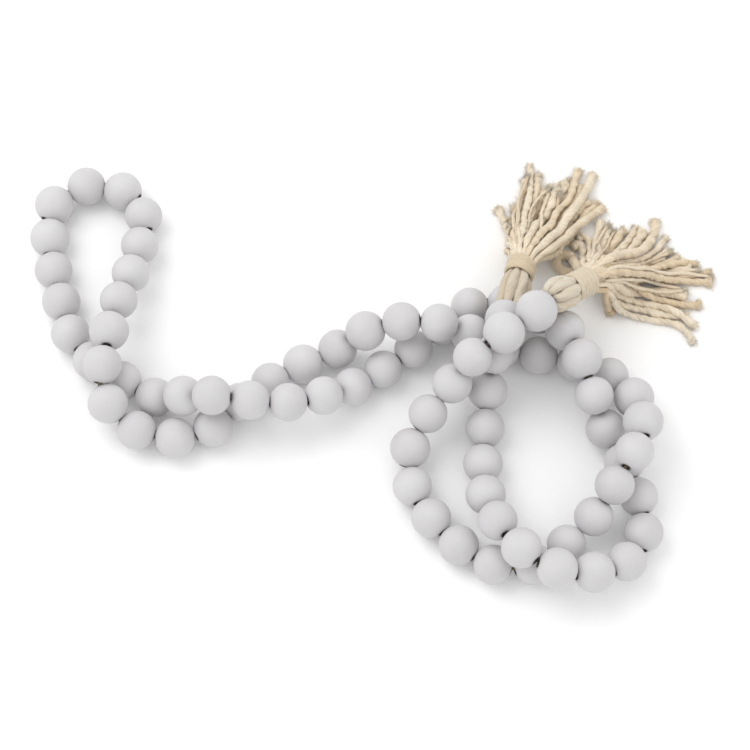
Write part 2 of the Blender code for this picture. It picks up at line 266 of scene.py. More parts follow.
def join(pieces, name):
    """Make several pieces one, under a new name."""
    select_only(*pieces)
    bpy.ops.object.join()
    pieces[0].name = pieces[0].data.name = name
    return pieces[0]


def paint_value(piece, name, value):
    """Store a number, or one for each point, for a material to read."""
    attribute = piece.data.attributes.new(name, "FLOAT", "POINT")
    values = np.full(len(piece.data.vertices), value, np.float32)
    attribute.data.foreach_set("value", values)


# %% [markdown]
# ## One bead
#
# A real bead is turned on a lathe, drilled along its axis and painted, and the drill leaves a
# small softened lip round each hole. A sphere with a Boolean cylinder would leave a knife-sharp
# rim and long thin faces. So the poles of a sphere are cut off instead, each open rim is extruded
# inwards twice for the lip, and the two rims are bridged through the bead as the wall of the hole.

# %% Model one bead
BEAD_SEGMENTS = 48
BEAD_RINGS = 28
# Two rounds of points inside the rim: their radius, and their height above the bead's middle
LIP = ((2.08 * MM, 9.58 * MM), (1.95 * MM, 9.15 * MM))
POLE_MARGIN = 0.05 * MM
# Bare wood, made near black as painted shade, shows from here to the axis, after a short fade
WOOD_AND_SHADE_RADIUS = 2.9 * MM
WOOD_AND_SHADE_FADE = 0.8 * MM

select_only()
bpy.ops.mesh.primitive_uv_sphere_add(
    segments=BEAD_SEGMENTS, ring_count=BEAD_RINGS, radius=BEAD_RADIUS, location=(0, 0, 0)
)
bead_model = bpy.context.object
bead_model.name = "bead_model"
bpy.ops.object.mode_set(mode="EDIT")
rim_height = BEAD_RADIUS * math.cos(2 * math.pi / BEAD_RINGS)
pick(bead_model, "VERT", lambda v: abs(v.co.z) > rim_height + POLE_MARGIN)
bpy.ops.mesh.delete(type="VERT")
for end in (1, -1):
    radius = BEAD_RADIUS * math.sin(2 * math.pi / BEAD_RINGS)
    height = rim_height
    pick(bead_model, "EDGE", lambda e: e.is_boundary and e.verts[0].co.z * end > 0)
    for lip_radius, lip_height in LIP:
        bpy.ops.mesh.extrude_region()
        shrink = lip_radius / radius
        bpy.ops.transform.resize(value=(shrink, shrink, 1.0), center_override=(0, 0, 0))
        bpy.ops.transform.translate(value=(0, 0, (lip_height - height) * end))
        radius, height = lip_radius, lip_height
pick(bead_model, "EDGE", lambda e: e.is_boundary)
bpy.ops.mesh.bridge_edge_loops()
bpy.ops.object.mode_set(mode="OBJECT")
weld_and_turn_out(bead_model)

# Where the paint gives way to bare wood, which is made near black as painted shade of the hole
from_axis = np.array([vertex.co.xy.length for vertex in bead_model.data.vertices])
paint_value(bead_model, "bore", np.clip((WOOD_AND_SHADE_RADIUS - from_axis) / WOOD_AND_SHADE_FADE, 0.0, 1.0))
print("one bead has", len(bead_model.data.polygons), "faces")

# %% [markdown]
# ## Seventy-nine beads
#
# The beads are copied along the string, each with a mesh of its own, and turned so that its hole
# follows the string. A particle system or an array along a curve would make them all alike. Here
# each copy gets slight dents and a shade of its own. Drawn places never fit perfectly, so a few
# rounds of small pushes let each bead touch its neighbours without cutting into them. What would
# reach below the table is pressed flat: a bead rests on a small flat spot. Beads are joined two by
# two, as the solids of the frame are.

# %% Place the beads
DENT_DEPTH = 0.24 * MM
DENT_SIZE = 12 * MM
DRESSED_RADIUS = 10.5 * MM
SMALLEST, LARGEST = 0.965, 1.02
# The two beads on top of the heap are larger than the others
TOP_BEADS = [77, 78]
TOP_BEAD_RADIUS = DRESSED_RADIUS * 1.045
RESTING_DIP = 0.40 * MM
HOLE_RADIUS = 2.33 * MM
NUDGE_ROUNDS = 80
PULL_BACK = 0.02
NEVER_ZERO = 1e-9
BEAD_CLIMB = 0.7


def between(points, others):
    """The offsets and distances from each of some points to each of the others."""
    offset = points[:, None] - others[None]
    return offset, np.sqrt((offset**2).sum(axis=2)) + NEVER_ZERO


bead_random = random.Random(11)
drawn_centres = np.array([(a + b) / 2 for a, b in links])
drawn_centres[:, 2] += DRESSED_RADIUS - BEAD_RADIUS
count = len(drawn_centres)
bead_radii = np.array([bead_random.uniform(SMALLEST, LARGEST) for _ in range(count)])
bead_radii *= DRESSED_RADIUS
bead_radii[TOP_BEADS] = TOP_BEAD_RADIUS
# Neighbours on the string meet at their holes, so their middles may be a little closer
wanted_apart = bead_radii[:, None] + bead_radii[None]
beside = abs(np.arange(count)[:, None] - np.arange(count)[None]) == 1
to_hole = np.sqrt(bead_radii**2 - HOLE_RADIUS**2)
wanted_apart[beside] = (to_hole[:, None] + to_hole[None])[beside]
np.fill_diagonal(wanted_apart, 0.0)

centres = drawn_centres.copy()
for _ in range(NUDGE_ROUNDS):
    centres += (drawn_centres - centres) * PULL_BACK
    offset, apart = between(centres, centres)
    push = np.clip(wanted_apart - apart, 0, None)
    centres += (offset * (push / apart)[:, :, None]).sum(axis=1) / 2
    centres[:, 2] = np.maximum(centres[:, 2], bead_radii - RESTING_DIP)
shift = np.linalg.norm(centres - drawn_centres, axis=1)
print("beads nudged by", round(shift.mean() / MM, 2), "mm, at most", round(shift.max() / MM, 2))
print("deepest overlap left", round(push.max() / MM, 3), "mm")
# A bead has play on the string, so it tilts less than the string climbs
ways = [((end - start) * Vector((1, 1, BEAD_CLIMB))).normalized() for start, end in links]


def lying_frame(direction):
    """Axes with their third along a direction, and their first pointing down as far as it can."""
    down = Vector((0, 0, -1))
    down = (down - direction * down.dot(direction)).normalized()
    return Matrix((down, direction.cross(down), direction)).transposed()


def bead_copy(index):
    """A copy of the bead at its place on the string, with small dents and a flat resting spot."""
    copy = bead_model.copy()
    copy.data = bead_model.data.copy()
    bpy.context.scene.collection.objects.link(copy)
    turn = Matrix.Rotation(bead_random.uniform(0, 2 * math.pi), 3, "Z")
    axes = (lying_frame(ways[index]) @ turn).to_4x4()
    scale = float(bead_radii[index] / BEAD_RADIUS)
    middle = Vector(centres[index])
    copy.data.transform(Matrix.Translation(middle) @ axes @ Matrix.Scale(scale, 4))
    for vertex in copy.data.vertices:
        dent = noise.noise(vertex.co / DENT_SIZE + Vector((index, 0, 0))) * 0.5 + 0.5
        vertex.co -= (vertex.co - middle).normalized() * (dent * DENT_DEPTH)
        vertex.co.z = max(vertex.co.z, 0.0)
    paint_value(copy, "shade", bead_random.random())
    return copy


bead_pieces = []
for first in range(0, len(links), 2):
    pair = [bead_copy(index) for index in range(first, min(first + 2, len(links)))]
    if len(pair) == 2:
        name, node = f"beads_{first // 2 + 1:02d}", f"bead_pair_{first // 2 + 1:02d}"
    else:
        name, node = "beads_last", "bead_last"
    piece = join(pair, name)
    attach(piece, "root")
    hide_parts(node)
    bead_pieces.append(piece)
bpy.data.objects.remove(bead_model, do_unlink=True)
print(len(bead_pieces), "pieces for", len(links), "beads")

# %% [markdown]
# ## Cords
#
# String, tassel strands and windings are all twisted cotton. A twisted cord could be three or four
# thin tubes wound round each other, at four times the cost. A path with a lobed cross-section that
# turns as it goes gives the same grooves with one tube, so every cord here is a curve with a
# profile for its bevel and a tilt that grows along it. Turned into a mesh, it keeps a map of how
# far along and how far round each face is, which the cotton finish follows.

# %% A helper that makes a cord
# A cord's twist is uneven over this length, and each cord reads its own line of the same noise
UNREST_LENGTH = 9 * MM
CORDS_APART = 7.0
# Lumps of handled cotton: how far apart they are, and how far they stand out
LUMPS = ((5.0 * MM, 0.34 * MM), (1.5 * MM, 0.15 * MM))
# Vector noise starts in another place in every run unless it has a seed
noise.seed_set(11)
FINE_STEPS = 8
cord_profiles = []


def new_path(name, dimensions="3D"):
    """An empty path: a line in space with closed ends, or a flat outline."""
    path = bpy.data.curves.new(name, "CURVE")
    path.dimensions = dimensions
    path.use_fill_caps = dimensions == "3D"
    return path


def add_line(path, places):
    """Add a line through some places to a path, and return it."""
    line = path.splines.new("POLY")
    line.points.add(len(places) - 1)
    for spot, place in zip(line.points, places):
        spot.co = (*place, 1.0)
    return line


def mesh_from(path):
    """Turn a path into a mesh with the same name."""
    select_only(put_in_scene(path.name, path))
    bpy.ops.object.convert(target="MESH")
    return bpy.context.object


def cord_profile(name, plies, sides, groove, flatness=1.0):
    """Cross-section of a cord one millimetre in radius, with a groove between its plies."""
    outline = new_path(name, "2D")
    places = []
    for i in range(sides):
        angle = 2 * math.pi * i / sides
        reach = (1.0 - groove + groove * abs(math.cos(plies * angle / 2))) * MM
        places.append((reach * math.cos(angle), reach * math.sin(angle) * flatness, 0.0))
    add_line(outline, places).use_cyclic_u = True
    cord_profiles.append(put_in_scene(name, outline))
    return cord_profiles[-1]


def cord(name, points, radii, lay, profile, shade, start_tilt=0.0, twist_mode="MINIMUM",
         unrest=0.0, dullness=0.0):
    """A twisted cord through points, as a mesh. Its plies go once round in one lay."""
    path = new_path(name)
    path.twist_mode = twist_mode
    path.bevel_mode = "OBJECT"
    path.bevel_object = profile
    travelled = 0.0
    for i, spot in enumerate(add_line(path, points).points):
        if i:
            travelled += (points[i] - points[i - 1]).length
        spot.radius = radii[i] / MM
        spot.tilt = start_tilt + (2 * math.pi * travelled / lay if lay else 0.0)
        place = Vector((travelled / UNREST_LENGTH, start_tilt * CORDS_APART, 0.0))
        spot.tilt += unrest * noise.noise(place)
    piece = mesh_from(path)
    layer = piece.data.uv_layers.active
    flat = np.zeros(len(layer.data) * 2, np.float32)
    layer.data.foreach_get("uv", flat)
    flat[0::2] *= travelled / MM
    layer.data.foreach_set("uv", flat)
    weld_and_turn_out(piece)
    paint_value(piece, "shade", shade)
    # How far the cotton finish greys the cord, as painted shade
    paint_value(piece, "dullness", dullness)
    return piece


def roughen(piece):
    """Push a cord's surface in and out a little, as handling and wear do."""
    for vertex in piece.data.vertices:
        for size, depth in LUMPS:
            vertex.co += noise.noise_vector(vertex.co / size) * depth


def smooth_path(points, spacing):
    """A smooth line through a few points, with a new point at each step of about one spacing."""
    ends = [2 * points[0] - points[1], *points, 2 * points[-1] - points[-2]]
    fine = [points[0]]
    for a, b, c, d in zip(ends, ends[1:], ends[2:], ends[3:]):
        for step in range(1, FINE_STEPS + 1):
            fine.append(bend(b, c, (c - a) / 2, (d - b) / 2, step / FINE_STEPS))
    length = sum((b - a).length for a, b in zip(fine, fine[1:]))
    return [points[0], *divide(fine, max(2, round(length / spacing)))]


string_profile = cord_profile("string_profile", 3, 12, 0.30)
strand_profile = cord_profile("strand_profile", 4, 24, 0.08)
flat_profile = cord_profile("flat_strand_profile", 3, 24, 0.08, 0.78)
pair_profile = cord_profile("pair_profile", 2, 24, 0.20, 0.95)
head_profile = cord_profile("head_profile", 3, 24, 0.05, 0.92)
print(len(cord_profiles), "cross-sections")

# %% [markdown]
# ## The tassels' axes
#
# A tassel starts at the end of the string and hangs over the beads below it. Its head, waist and
# flare are measured along one straight axis, from the last bead to the place where the strands
# spread. A small class holds these measures, so that the cords of the head, the winding and the
# strands can all be given as a distance along the axis, a distance from it and an angle round it.

# %% Measures of each tassel
FLARE_LENGTH = 5.5 * MM


class Tassel:
    """The axis of one tassel, and places given along and round it."""

    # Binding is its length and fold is where the head begins, both in millimetres
    def __init__(self, name, start, exit_place, binding, bulk, fold):
        self.name = name
        self.bulk = bulk
        self.fold = fold
        self.start = start
        self.finish = Vector(exit_place) * MM - FOOTPRINT_CENTRE
        self.length = (self.finish - self.start).length
        self.direction = (self.finish - self.start).normalized()
        self.side = Vector((-self.direction.y, self.direction.x, 0.0)).normalized()
        self.above = self.direction.cross(self.side)
        self.flare_start = self.length - FLARE_LENGTH
        self.waist_start = self.flare_start - binding * MM

    def place(self, along, out, angle):
        """A point so far along the axis and so far out from it, with angle 0 on its left side."""
        round_it = self.side * math.cos(angle) + self.above * math.sin(angle)
        return self.start + self.direction * along + round_it * out


# The second head leans to one side of the hole that its string comes out of
SIDESTEP = Vector((-0.9, 1.7, 0.0)) * MM
tassel_1 = Tassel("tassel_1", joints[0], (80.5, 61, 24.2), 13.0, 1.06, 0.0)
tassel_2 = Tassel("tassel_2", joints[-1] + SIDESTEP, (117.5, 43.7, 30.2), 16.6, 1.12, 5.6)
tassels = (tassel_1, tassel_2)
for tassel in tassels:
    print(tassel.name, "neck", round(tassel.length / MM, 1), "mm, up", round(tassel.above.z, 2))

# %% [markdown]
# ## The string
#
# The string runs inside the beads and shows only where two of them part at a bend, and where it
# enters the tassel heads. It takes each corner in a short curve, because it lies loose in the
# holes.

# %% Make the string
STRING_RADIUS = 0.95 * MM
STRING_LAY = 5 * MM
STEPS_IN_A_BEAD = 14
BEAD_PITCH = 20.3 * MM
STRING_END_IN_HEAD = 4.0 * MM
STRING_KNEE = 3.5 * MM
STEPS_INTO_HEAD = 8
# How far the string leans to the inner side of a bend, and the bend at which it leans so far
STRING_LEAN = 0.95 * MM
FULL_LEAN_BEND = 0.15

leans = [Vector()]
for before, after in zip(ways, ways[1:]):
    turn = after - before
    leans.append(turn.normalized() * STRING_LEAN * min(1.0, turn.length / FULL_LEAN_BEND))
leans.append(Vector())


def into_head(tassel, spot, way):
    """The string's short curve from a place in its outermost bead into the head of a tassel."""
    end = tassel.place(STRING_END_IN_HEAD + tassel.fold * MM, 0, 0)
    knee = spot + way * STRING_KNEE
    shares = [i / STEPS_INTO_HEAD for i in range(1, STEPS_INTO_HEAD + 1)]
    return [spot * (1 - t)**2 + knee * (2 * t * (1 - t)) + end * t**2 for t in shares]


string_points = []
for centre, way, lean_in, lean_out in zip(centres, ways, leans, leans[1:]):
    for i in range(STEPS_IN_A_BEAD):
        t = (i + 0.5) / STEPS_IN_A_BEAD
        lean = lean_in * (1 - ease(min(1.0, 2 * t))) + lean_out * ease(max(0.0, 2 * t - 1))
        string_points.append(Vector(centre) + way * (BEAD_PITCH * (t - 0.5)) + lean)
first_curve = into_head(tassel_1, string_points[0], -ways[0])
last_curve = into_head(tassel_2, string_points[-1], ways[-1])
string_points = [*reversed(first_curve), *string_points, *last_curve]
radii = [STRING_RADIUS] * len(string_points)
string = cord("cotton_string", string_points, radii, STRING_LAY, string_profile, 0.5)
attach(string, "root")
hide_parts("string")
print("string with", len(string.data.polygons), "faces")

# %% [markdown]
# ## The tassel heads
#
# A tassel's head is a bundle of cords folded over the string and bound below the fold, so it shows
# as a bulb of thick cords side by side. It could be one turned shape with grooves, but the cords
# would then lack their twist and the dark gaps between them. Each cord of the bundle follows the
# same outline, from the fold at the top, out over the bulb and in under the winding.

# %% Fold the head cords
HEAD_CORDS = 7
# A few cords inside the bundle close the gaps between the others
INNER_CORDS = 4
INNER_SHARE = 0.40
INNER_TONE = 0.2
HEAD_CORD_LAY = 48 * MM
HEAD_SPACING = 0.9 * MM
HEAD_WANDER = 0.10
HEAD_UNEVENNESS = 0.05
HEAD_SWELLS = (0.97, 1.07)
HEAD_TILT = 6
# Painted shade makes the heads duller than the strands; the first head's cords are warmer
HEAD_PAINTED_SHADE = {"tassel_1": 0.42, "tassel_2": 0.35}
HEAD_TONES = {"tassel_1": 1.9, "tassel_2": 0.9}
# Outline of the bulb: along the axis, out from it, and the cord's own radius. The first rows count
# from the fold, the others from the start of the waist.
HEAD_TOP = ((3.2, 1.5, 1.5), (2.2, 2.7, 1.9), (2.1, 4.4, 2.3), (3.6, 5.4, 2.8), (6.0, 5.6, 3.0))
HEAD_WAIST = ((-5.0, 5.5, 3.0), (-1.5, 4.9, 2.7), (1.0, 4.2, 2.2), (3.5, 3.8, 1.9))


def head_cord(tassel, index, angle, share, shade):
    """One cord of a head, from its fold to the waist. Share brings it nearer the axis."""
    rows = [(s + tassel.fold, out, r) for s, out, r in HEAD_TOP]
    rows += [(tassel.waist_start / MM + s, out, r) for s, out, r in HEAD_WAIST]
    wander = head_random.uniform(-HEAD_WANDER, HEAD_WANDER)
    coarse = []
    for i, (s, out, r) in enumerate(rows):
        turned = angle + wander * i / len(rows)
        coarse.append(tassel.place(s * MM, out * share * tassel.bulk * MM, turned))
    points = smooth_path(coarse, HEAD_SPACING)
    stations = np.linspace(0, len(rows) - 1, len(points))
    swell = head_random.uniform(*HEAD_SWELLS) * tassel.bulk
    radii = np.interp(stations, range(len(rows)), [r * swell * MM for _, _, r in rows])
    piece = cord(f"{tassel.name}_head_{index}", points, radii, HEAD_CORD_LAY, head_profile, shade,
                 start_tilt=head_random.uniform(0, HEAD_TILT), dullness=HEAD_PAINTED_SHADE[tassel.name])
    roughen(piece)
    return piece


head_random = random.Random(23)
head_cords = {}
for tassel in tassels:
    made = []
    for i in range(HEAD_CORDS):
        angle = 2 * math.pi * (i + 0.5) / HEAD_CORDS
        angle += head_random.uniform(-HEAD_UNEVENNESS, HEAD_UNEVENNESS)
        tone = HEAD_TONES[tassel.name] * head_random.random()
        made.append(head_cord(tassel, i, angle, 1.0, tone))
    for i in range(INNER_CORDS):
        angle = 2 * math.pi * i / INNER_CORDS
        made.append(head_cord(tassel, HEAD_CORDS + i, angle, INNER_SHARE, INNER_TONE))
    head_cords[tassel.name] = made
    print(tassel.name, "head of", len(made), "cords")

# %% [markdown]
# ## The windings
#
# A cord wound tightly round the waist holds each bundle. A plain ring would look moulded, so the
# winding is one flattened cord on a helix, with its two ends tucked under. The first tassel has a
# few broad turns, the second a longer band of finer ones.

# %% Wind the waists
WINDING_STEP = math.radians(9.0)
WINDING_TILT = math.radians(90.0)
WINDING_START = 4.0
WINDING_RIPPLE, RIPPLES_A_TURN = 0.12, 5
# Each end of the cord goes under: how far in, over which share of the cord, and its width there
TUCKED_IN = 1.2
TUCK_SHARE = 1 / 12
NARROWEST = 0.7
# Turns, half the cord's width, its distance from the axis, its flatness, how far it slants along
# the waist, and its shade. Lengths are in millimetres.
WINDINGS = {
    "tassel_1": (2.25, 2.8, 7.1, 0.42, 1.4, 1.05),
    "tassel_2": (5.3, 1.62, 7.0, 0.62, 0.5, 0.75),
}


def winding(tassel, turns, half_width, out, flatness, slant, shade):
    """A flattened cord wound round a tassel's waist, from its head end to its flare."""
    profile = cord_profile(tassel.name + "_winding_profile", 2, 16, 0.05, flatness)
    first = tassel.waist_start / MM + 0.5 * half_width
    last = tassel.flare_start / MM - 0.5 * half_width
    count = round(turns * 2 * math.pi / WINDING_STEP)
    points, radii = [], []
    for i in range(count + 1):
        share = i / count
        shown = ease(min(1.0, share / TUCK_SHARE, (1 - share) / TUCK_SHARE))
        angle = WINDING_START + share * turns * 2 * math.pi
        height = first + (last - first) * share + slant * math.cos(angle)
        height += WINDING_RIPPLE * math.sin(RIPPLES_A_TURN * angle)
        reach = out - TUCKED_IN * (1 - shown)
        spot = Vector((reach * math.cos(angle), reach * math.sin(angle), height))
        points.append(spot * MM)
        radii.append(half_width * (NARROWEST + (1 - NARROWEST) * shown) * MM)
    name = tassel.name + "_winding"
    piece = cord(name, points, radii, 0.0, profile, shade, WINDING_TILT, "Z_UP")
    axes = Matrix((tassel.side, tassel.above, tassel.direction)).transposed()
    piece.data.transform(Matrix.Translation(tassel.start) @ axes.to_4x4())
    return piece


for tassel in tassels:
    piece = winding(tassel, *WINDINGS[tassel.name])
    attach(piece, "root")
    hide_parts(tassel.name + "_binding")
    print(piece.name, "with", len(piece.data.polygons), "faces")

# %% [markdown]
# ## The strands' routes
#
# Each strand leaves the neck, arcs over its neighbours and comes down to the table, and a few turn
# back on themselves. Hair particles would be quick to add but hard to steer, and these strands are
# thick enough to be followed one by one. A table gives where each tip lies, and a smooth curve
# leads to it from the neck.

# %% Table of strands
STRAND_RADIUS = 2.42 * MM
# From left to right as seen from the head. Columns: x and y of the tip, its height above the
# table, the heading of the tip in degrees, the part of the strand's length in which it comes down,
# and the layer of the neck that it leaves from, 1 on top and -1 underneath. A few rows go on with
# places that the strand passes on its way.
STRANDS = {
    "tassel_1": (
        (69, 99, 0, 115, 0.80, 1, (77, 76), (73.5, 88)),
        (76, 93, 0, 100, 0.60, -1),
        (82, 104, 0, 84, 0.80, 1),
        (79, 101, 0, 100, 0.60, 0),
        (86, 118, 0, 92, 0.70, -1),
        (86, 128, 0, 104, 0.85, 1),
        (91, 121, 0, 96, 0.70, 0),
        (95, 112, 0, 70, 0.65, -1),
        (101, 109, 4, 66, 0.85, 1),
        (98, 115, 0, 78, 0.70, 0),
        (107, 115, 0, 66, 0.70, -1),
        (114, 124, 3, 74, 0.85, 1),
        (111, 110, 0, 56, 0.60, 0),
        (117, 113, 0, 50, 0.65, -1),
        (122, 121, 3, 62, 0.85, 1),
        (118, 105, 0, 44, 0.60, 0),
        (122, 104, 0, 40, 0.65, -1),
        (125.5, 100, 5, 28, 0.90, 1),
    ),
    "tassel_2": (
        (108, 79, 0, 200, 0.60, -1),
        (112, 85, 0, 178, 0.65, 1),
        (124, 92, 0, 92, 0.75, 1),
        (129, 88, 0, 66, 0.60, 0),
        (137, 86, 0, 40, 0.60, -1),
        (144, 88, 4, 62, 0.80, 1),
        (147, 85, 0, 60, 0.65, 0),
        (155, 93, 4, 96, 0.85, 1),
        (160, 82, 4, 66, 0.85, 1),
        (160, 74, 0, 30, 0.65, 0),
        (166, 69, 0, 25, 0.60, -1),
        (176, 66, 3, 6, 0.85, 1),
        (172, 62, 0, 2, 0.65, 0),
        (183, 60, 0, -12, 0.70, -1),
        (182, 55, 3, -8, 0.85, 1),
        (168, 46, 0, -10, 0.65, 0),
        (175, 41, 0, -8, 0.80, 1, (137, 48.5), (151, 44.5), (164, 42)),
        (172, 28.5, 0, -30, 0.75, 0, (133, 44.5), (145, 41.5), (158, 37)),
        (168, 34, 0, -30, 0.75, -1, (130.5, 40), (138, 39), (147, 37.8), (158, 35.5)),
        (171, 19, 0, -60, 0.62, -1, (129, 37.8), (137, 35), (149, 32.8), (161, 30), (167.5, 25)),
        (128, 36.5, 4, -85, 0.95, -1),
    ),
}
print(sum(len(rows) for rows in STRANDS.values()), "strands in the table")

# %% [markdown]
# ## From the table to routes
#
# A strand starts deep under the winding, runs out of it and follows a bend in plan to its tip,
# while it comes down over a part of its length. One strand curls into a ring, and its circle is
# worked out from a centre and a radius.

# %% Routes of the strands
ROOT_SPREAD = 8.0 * MM
ROOT_RISE = 5.2 * MM
ROOT_BACK = 7.0 * MM
# Under the winding a strand lies nearer the axis than at its root
BOUND_SPREAD, BOUND_RISE = 0.62, 0.85
LEAVE_SPREAD = 0.6
ROOT_SHUFFLE = 1.3
CONTROL_SHARE = 0.33
PLAN_SPACING = 5.0 * MM
PLAN_STEPS = 12
# The one strand of the second tassel that curls into a ring on the table
CURL_CENTRE = (104, 66)
CURL_RADIUS = 4.9 * MM
CURL_SWELL = 1.12
CURL_STEPS = 24
CURL_SWEEP = math.radians(335.0)
CURL_START = math.radians(20.0)
CURL_ROOT = 0.8
CURL_HEIGHT = 0.55

strand_random = random.Random(37)


def strand_route(tassel, row, order, count):
    """Coarse points of one strand: out of the winding, over, and down to its tip."""
    tip_x, tip_y, tip_rise, tip_heading, drop, layer, *passed = row
    tip = Vector((tip_x * MM, tip_y * MM, STRAND_RADIUS + tip_rise * MM)) - FOOTPRINT_CENTRE
    spread = 1.0 - 2.0 * (order + strand_random.uniform(-ROOT_SHUFFLE, ROOT_SHUFFLE)) / (count - 1)
    rise = ROOT_RISE * layer * math.cos(spread)
    root = tassel.finish + tassel.side * (ROOT_SPREAD * spread) + tassel.above * rise
    bound = tassel.finish - tassel.direction * ROOT_BACK
    bound += tassel.side * (BOUND_SPREAD * ROOT_SPREAD * spread)
    bound += tassel.above * (BOUND_RISE * rise)
    arrive = Vector((math.cos(math.radians(tip_heading)), math.sin(math.radians(tip_heading))))
    reach = (tip - root).xy.length
    leave = tassel.direction.xy.normalized() + tassel.side.xy * spread * LEAVE_SPREAD
    leave.normalize()
    pull = 3 * reach * CONTROL_SHARE
    if passed:
        ways_down = [Vector((x * MM, y * MM, 0.0)) - FOOTPRINT_CENTRE for x, y in passed]
        plan = smooth_path([root, *ways_down, tip], PLAN_SPACING)
    else:
        shares = [step / PLAN_STEPS for step in range(PLAN_STEPS + 1)]
        plan = [bend(root.xy, tip.xy, leave * pull, arrive * pull, t) for t in shares]
    points = [bound]
    for step, place in enumerate(plan):
        fallen = ease(min(1.0, step / (len(plan) - 1) / drop))
        points.append(Vector((place.x, place.y, root.z + (tip.z - root.z) * fallen)))
    return points


def curl_route(tassel):
    """The strand that leaves the neck on its left and runs once round a small ring."""
    root = tassel.finish + tassel.side * (ROOT_SPREAD * CURL_ROOT)
    centre = Vector((*CURL_CENTRE, 0)) * MM - FOOTPRINT_CENTRE
    ring = []
    for step in range(CURL_STEPS):
        angle = CURL_START + CURL_SWEEP * step / (CURL_STEPS - 1)
        flat = centre.xy + CURL_RADIUS * Vector((math.cos(angle), math.sin(angle)))
        ring.append(Vector((*flat, STRAND_RADIUS)))
    middle = root.lerp(ring[0], 0.5)
    middle.z = ring[0].z + (root.z - ring[0].z) * CURL_HEIGHT
    return [root - tassel.direction * ROOT_BACK, root, middle, *ring]


print("the ring strand has", len(curl_route(tassel_2)), "points to start with")

# %% [markdown]
# ## Yarns and waves
#
# Handling pulls thin yarns out of the strands, and no strand lies quite straight. Each yarn gets a
# row of its own, drawn at random between two neighbouring strands, and a slow wave runs along every
# route. The random generator has a fixed seed, so each run gives the same tassels.

# %% Draw every route
ROOT_RADIUS = 1.55 * MM
SETTLE_SPACING = 2.0 * MM
# Random ranges: a strand's thickness, and the width and length of the wave that runs along it
SWELLS = (0.82, 1.12)
SWAYS = (0.3 * MM, 0.9 * MM)
WAVES = (24 * MM, 40 * MM)
ANY_PHASE = 6.3
# Where the wave begins and over which length it grows, and the same for the strand's thickness
WAVE_START, WAVE_GROWTH = 12 * MM, 20 * MM
SWELL_START, SWELL_GROWTH = 5 * MM, 15 * MM
# Thin yarns that came out of the strands, for each tassel, and how thin they are beside a strand
YARNS = 8
YARN_SHARE = 0.42
# How far a yarn's tip lies past its neighbours' tips in millimetres, how far its heading may
# differ, and the height, drop and layer that it can have
YARN_REACH = (-9, 1)
YARN_TURN = 45
YARN_RISES = (2, 5, 8)
YARN_DROP = 0.85
YARN_LAYERS = (0, 1, 1)


def yarn_row(rows):
    """A row for a thin yarn whose tip lies somewhere between two neighbouring tips."""
    index = strand_random.randrange(1, len(rows) - 4)
    (x_a, y_a), (x_b, y_b) = rows[index][:2], rows[index + 1][:2]
    share, reach = strand_random.random(), strand_random.uniform(*YARN_REACH)
    heading = (rows[index][3] + rows[index + 1][3]) / 2
    heading += strand_random.uniform(-YARN_TURN, YARN_TURN)
    x = x_a + (x_b - x_a) * share + reach * math.cos(math.radians(heading))
    y = y_a + (y_b - y_a) * share + reach * math.sin(math.radians(heading))
    rise, layer = strand_random.choice(YARN_RISES), strand_random.choice(YARN_LAYERS)
    return index, (x, y, rise, heading, YARN_DROP, layer)


def growth(along, start, length):
    """How much of something has grown at a place along a strand, from 0 to 1."""
    return ease(min(1.0, max(0.0, (along - start) / length)))


routes = []
for tassel in tassels:
    rows = STRANDS[tassel.name]
    coarse = [strand_route(tassel, row, i, len(rows)) for i, row in enumerate(rows)]
    if tassel is tassel_2:
        coarse.append(curl_route(tassel))
    strand_count = len(coarse)
    for _ in range(YARNS):
        index, row = yarn_row(rows)
        coarse.append(strand_route(tassel, row, index, len(rows)))
    for number, points in enumerate(coarse):
        line = smooth_path(points, SETTLE_SPACING)
        swell = strand_random.uniform(*SWELLS)
        if tassel is tassel_2 and number == len(rows):
            swell = CURL_SWELL
        if number >= strand_count:
            swell *= YARN_SHARE
        full = STRAND_RADIUS * swell
        thin = min(ROOT_RADIUS, full)
        phase, sway = strand_random.uniform(0, ANY_PHASE), strand_random.uniform(*SWAYS)
        wave = strand_random.uniform(*WAVES)
        radii = []
        for i, point in enumerate(line):
            along = i * SETTLE_SPACING
            turned = 2 * math.pi * along / wave + phase
            aside = sway * growth(along, WAVE_START, WAVE_GROWTH)
            point.x += aside * math.sin(turned)
            point.y += aside * math.cos(turned + 0.7 * phase)
            radii.append(thin + (full - thin) * growth(along, SWELL_START, SWELL_GROWTH))
        routes.append({"tassel": tassel, "line": line, "radii": radii})
print(len(routes), "strands with", sum(len(route["line"]) for route in routes), "points")

# %% [markdown]
# ## Letting the strands settle
#
# Curves drawn one by one run through each other. Blender's cloth or rigid bodies could sort them
# out, slowly. Strands as short as these only need a few simple rules, repeated: sink a little,
# push apart where two touch, stay off the table, the beads and the heads, keep each step its
# length and keep the bends that were drawn. The points inside the windings are held still. At the
# end the moves are evened out along each strand, because thick cotton can't follow a sharp little
# kink.

# %% Push the strands apart
SETTLE_ROUNDS = 90
SMOOTH_ROUNDS = 8
HELD_POINTS = 5
# Two points of one strand push each other only from this many steps apart
STEPS_APART = 4
SINK = 0.05 * MM
PLAN_PULL = 0.04
BEND_PULL = 0.45
# The blocks are the beads, and balls along the axis of each tassel for its head and waist
HEAD_BALL_RADIUS = 8.2 * MM
HEAD_BALLS_FROM, HEAD_BALL_STEP = 3 * MM, 2 * MM
POINTS_NEAR_BLOCKS = HELD_POINTS + 2
BLOCK_PUSH = 0.5


